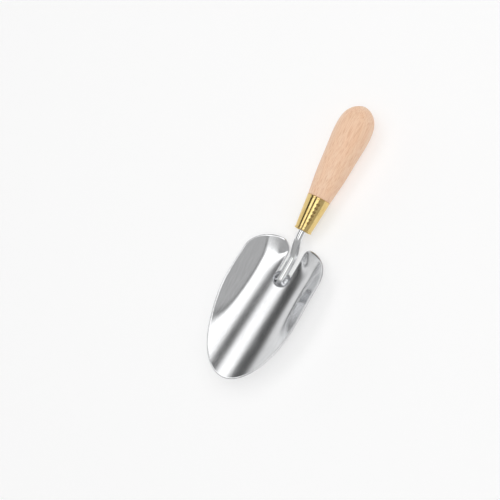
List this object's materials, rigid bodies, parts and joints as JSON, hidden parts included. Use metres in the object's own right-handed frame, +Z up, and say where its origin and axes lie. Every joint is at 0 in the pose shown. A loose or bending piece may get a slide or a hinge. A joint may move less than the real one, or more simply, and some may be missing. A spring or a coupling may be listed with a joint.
{
  "type": "hand trowel",
  "caption": "Hand trowel: deep stainless scoop with upturned rear lobes on a swan-necked rod, tapered brass ferrule and turned wooden grip.",
  "frame": {"origin": "on the ground under the middle of the trowel as it lies, scoop up, on its butt and rod", "axes": "+X along the tool towards the scoop's tip, +Z up out of the scoop's hollow, +Y across"},
  "size_m": [0.3178, 0.096, 0.0396],
  "materials": {
    "blade": "stainless steel, fine satin polish",
    "shank": "stainless steel rod, mirror polish",
    "weld_bead": "dressed and polished weld metal",
    "ferrule": "polished brass with a stamped leaf row",
    "handle": "turned beech, satin oil finish",
    "tang_adhesive": "set epoxy, hidden in the bore"
  },
  "bodies": {
    "root": {"blade": "blade", "shank": "shank", "weld_bead": "weld_bead", "ferrule": "ferrule", "handle": "handle", "tang_adhesive": "tang_adhesive"}
  },
  "joints": []
}
